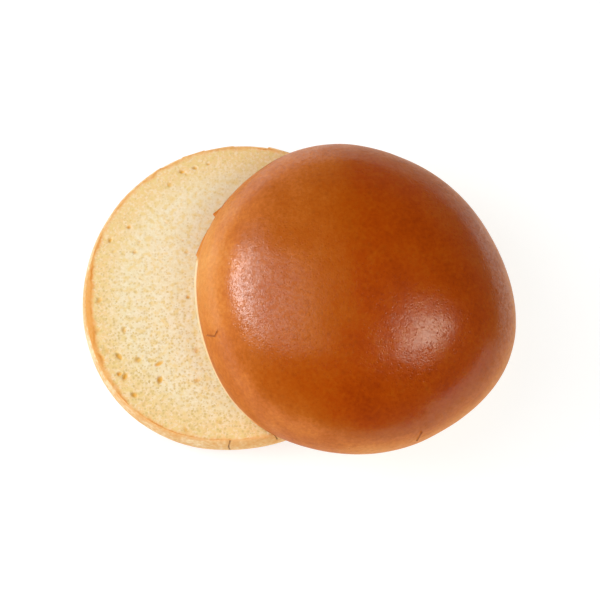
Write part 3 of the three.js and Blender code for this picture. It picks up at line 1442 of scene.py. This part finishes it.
@dataclass(frozen=True)
class SoftBox:
    """A lamp behind a diffuser, aimed at the roll from a direction in degrees, with its sizes in metres."""

    name: str
    azimuth: float
    elevation: float
    width: float
    depth: float
    radiance: float
    distance: float = 0.8
    glossy: bool = True
    colour: str = "#FFFFFF"

    def build(self, target: Vector) -> bpy.types.Object:
        """Adds the lamp.

        Args:
            target: The point that it is aimed at.

        Returns:
            The lamp's object.
        """
        lamp = bpy.data.lights.new(self.name, "AREA")
        lamp.shape = "RECTANGLE"
        lamp.size = self.width
        lamp.size_y = self.depth
        lamp.energy = self.radiance * math.pi * self.width * self.depth
        lamp.color = linear(self.colour)[:3]
        lamp_object = bpy.data.objects.new(self.name, lamp)
        turn, rise = math.radians(self.azimuth), math.radians(self.elevation)
        way = Vector((math.cos(turn) * math.cos(rise), math.sin(turn) * math.cos(rise), math.sin(rise)))
        lamp_object.location = target + way * self.distance
        lamp_object.rotation_euler = way.to_track_quat("Z", "Y").to_euler()
        lamp_object.visible_camera = False
        if not self.glossy:
            lamp.cycles.use_multiple_importance_sampling = False
            lamp_object.visible_glossy = False
        bpy.context.scene.collection.objects.link(lamp_object)
        return lamp_object


@dataclass(frozen=True)
class Studio:
    """A pale floor, a dim horizon under a dark ceiling, soft lamps, and a long-lens camera from above."""

    target: tuple[float, float, float] = (20.6 * MM, -2.1 * MM, 18 * MM)
    distance: float = 0.8
    tilt: float = 12.4
    turn: float = 13.5
    lens: float = 141.9
    sensor: float = 36.0
    clip: tuple[float, float] = (0.01, 50)
    floor_radius: float = 0.7
    floor_sides: int = 96
    paper: str = "#ABABAA"
    paper_glow: float = 0.7
    horizon: float = 0.1
    ceiling: float = 0.0
    horizon_rise: float = 0.1
    ceiling_rise: float = 0.75

    def floor(self) -> None:
        """Lays the floor: matte white paper that glows, so that it looks plain white, with a faint shadow."""
        mesh = bpy.data.meshes.new("floor")
        turns = [FULL_TURN * k / self.floor_sides for k in range(self.floor_sides)]
        corners = [(self.floor_radius * math.cos(t), self.floor_radius * math.sin(t), 0) for t in turns]
        mesh.from_pydata(corners, [], [tuple(range(len(corners)))])
        floor = bpy.data.objects.new("floor", mesh)
        paper = bpy.data.materials.new("white_paper")
        paper.use_nodes = True
        values = {
            "Base Color": linear(self.paper),
            "Roughness": 1.0,
            "Specular IOR Level": 0.0,
            "Emission Color": linear("#FFFFFF"),
            "Emission Strength": self.paper_glow,
        }
        for name, value in values.items():
            paper.node_tree.nodes["Principled BSDF"].inputs[name].default_value = value
        mesh.materials.append(paper)
        bpy.context.scene.collection.objects.link(floor)

    def sky(self) -> None:
        """Sets the world: a little light near the horizon, none overhead, and plain white to the camera."""
        world = bpy.data.worlds.new("studio")
        world.use_nodes = True
        world.node_tree.nodes.clear()
        add = partial(add_node, world.node_tree)
        rise = add(Kind.SPLIT, add(Kind.PLACE).outputs["Generated"]).outputs[2]
        strength = add(Kind.FADE, rise, self.horizon_rise, self.ceiling_rise, self.horizon, self.ceiling)
        strength = add(Kind.MAXIMUM, strength, add(Kind.LIGHT_PATH).outputs["Is Camera Ray"])
        background = add(Kind.BACKGROUND, named={"Color": linear("#FFFFFF"), "Strength": strength})
        add(Kind.WORLD_OUTPUT, background)
        bpy.context.scene.world = world

    def lamps(self) -> None:
        """Adds an even panel overhead, and on each side soft boxes and a small lamp that shines in the egg."""
        boxes = (
            SoftBox("left_lamp", 171, 32.5, 0.3, 0.12, 14.0),
            SoftBox("left_box", 171, 42, 0.5, 0.2, 3.6),
            SoftBox("left_scrim", 174, 56, 0.5, 0.22, 1.5),
            SoftBox("left_fill", 176, 70, 0.5, 0.3, 0.9),
            SoftBox("back_box", 150, 31, 0.4, 0.28, 1.2),
            SoftBox("right_lamp", -20, 59.5, 0.17, 0.22, 6.6, colour="#FFFAE4"),
            SoftBox("right_box", -15, 59, 0.36, 0.36, 0.9, colour="#FFF6E4"),
            SoftBox("low_box", -33, 6, 0.6, 0.2, 0.9),
            SoftBox("front_box", -97, 18, 0.7, 0.3, 2.7, glossy=False),
            SoftBox("left_wash", 170, 58, 0.8, 0.8, 0.75, distance=1.2, glossy=False),
            SoftBox("top_panel", -90, 89, 4.0, 4.0, 0.45, distance=1.6, glossy=False),
        )
        for box in boxes:
            box.build(Vector(self.target))

    def camera(self) -> None:
        """Adds the camera, turned from looking straight down by one rotation about a level axis."""
        lens = bpy.data.cameras.new("camera")
        lens.lens = self.lens
        lens.sensor_width = self.sensor
        lens.clip_start, lens.clip_end = self.clip
        eye = bpy.data.objects.new("camera", lens)
        turn, tilt = math.radians(self.turn), math.radians(self.tilt)
        side = Vector((-math.sin(turn), -math.cos(turn), 0))
        back = side * math.sin(tilt) + Vector((0, 0, math.cos(tilt)))
        eye.location = Vector(self.target) + back * self.distance
        eye.rotation_mode = "QUATERNION"
        eye.rotation_quaternion = Vector((0, 0, 1)).rotation_difference(back)
        bpy.context.scene.collection.objects.link(eye)
        bpy.context.scene.camera = eye

    def build(self) -> None:
        """Sets up everything round the roll."""
        self.camera()
        self.floor()
        self.sky()
        self.lamps()
        bpy.context.scene.view_settings.view_transform = "Standard"
        bpy.context.scene.view_settings.look = "None"


# ---------------------------------------- this roll


def heel() -> Heel:
    """Gives the heel its own lobes, edge, cracks and holes.

    Returns:
        The heel, ready to build.
    """
    return Heel(
        node="heel",
        slot="crumb",
        lies=Lies.CUT_UP,
        centre=(0.0, 0.0),
        bulge=0.9 * MM,
        lobes=(Lobe(2, 0.0235, 38), Lobe(3, 0.0045, -6), Lobe(4, 0.0035, -43)),
        edge_changes=(
            Tear(121, 9, 0.35 * MM),
            Tear(112, -7, 0.3 * MM),
            Tear(103, 7, 0.35 * MM),
            Tear(92, 8, 0.3 * MM),
            Tear(79, -9, 0.6 * MM),
            Slump(272, 26, 1.3 * MM),
        ),
        cracks=(
            Crack(((-93.4, 18 * MM), (-93.8, 15 * MM), (-93.2, 11 * MM)), width=0.5 * MM),
            Crack(((-76, 18 * MM), (-75.4, 15.5 * MM)), width=0.4 * MM),
        ),
        holes=(
            Hole(-40.3 * MM, -21.7 * MM, 3.2 * MM, 1.7 * MM, -45),
            Hole(-40.1 * MM, -27.7 * MM, 1.8 * MM, 1.6 * MM),
            Hole(-38.2 * MM, -28.6 * MM, 2.8 * MM, 1.9 * MM, 70),
            Hole(-35.1 * MM, -34.8 * MM, 2.2 * MM, 1.8 * MM, -20),
            Hole(-26.5 * MM, -29.6 * MM, 2.2 * MM, 2.7 * MM),
            Hole(-26.9 * MM, -24.2 * MM, 3.4 * MM, 1.5 * MM, 25, 0.5 * MM),
            Hole(-43.7 * MM, 18.3 * MM, 1.2 * MM, 1.9 * MM),
            Hole(-37.4 * MM, 22.9 * MM, 1.4 * MM, 1.3 * MM),
            Hole(-19.5 * MM, 42.4 * MM, 2.0 * MM, 1.2 * MM, 20),
            Hole(-15.1 * MM, 43.8 * MM, 1.6 * MM, 1.0 * MM, 10),
            Hole(-10.6 * MM, 45.2 * MM, 1.2 * MM, 0.8 * MM),
            Hole(-17.2 * MM, -1.3 * MM, 1.3 * MM, 1.3 * MM),
        ),
    )


def crown() -> Crown:
    """Gives the crown its own place, lobes, edge and cracks.

    Returns:
        The crown, ready to build.
    """
    return Crown(
        node="crown",
        slot="crust",
        lies=Lies.CUT_DOWN,
        centre=(38.3 * MM, -3.4 * MM),
        lobes=(Lobe(2, 0.0295, -37), Lobe(3, 0.019, -12), Lobe(4, 0.0065, -25), Lobe(6, 0.006, -18)),
        edge_reach=1.5 * MM,
        edge_changes=(
            Slump(208, 48, -1.35 * MM),
            Tear(147, -11, 1.9 * MM),
            Tear(162.9, -60, 2.6 * MM),
            Tear(163, 50, 2.0 * MM),
        ),
        cracks=(
            Crack(((-164.6, 12.7 * MM), (-162.4, 17.4 * MM), (-163.7, 19.2 * MM)), width=0.6 * MM),
            Crack(((-67.4, 11 * MM), (-65.3, 15.5 * MM)), width=0.45 * MM),
        ),
        cut_spacing=0.85 * MM,
        skin_spacing=0.62 * MM,
    )


def main() -> None:
    """Builds the studio, the finishes and both halves, in order, and reports each piece."""
    logging.basicConfig(level=logging.INFO, format="%(name)s: %(message)s")
    Studio().build()
    surface = SurfaceTree()
    # Crumb cut with a knife: matte cream, with a yellower dot in each open cell.
    crumb = CrumbFinish().material("wheat_crumb")
    # Crust that only dried as it baked: matte, and uneven in colour.
    dry = CrustFinish(roughness=0.85, specular=0.1, mottle=0.3, pit_height=0.08)
    # Crust brushed with egg before it was baked: smoother, under a clear coat with soft highlights.
    washed = CrustFinish(roughness=0.45, specular=0.04, mottle=0.2, pit_height=0.035)
    dry_crust = dry.material("dry_baked_crust")
    washed_crust = washed.material("egg_washed_crust")
    for half, crust in ((heel(), dry_crust), (crown(), washed_crust)):
        piece = half.build(surface, crust, crumb)
        triangles = sum(len(face.vertices) - 2 for face in piece.data.polygons)
        log.info("%s: %d points, %d triangles", piece.name, len(piece.data.vertices), triangles)


if __name__ == "__main__":
    main()
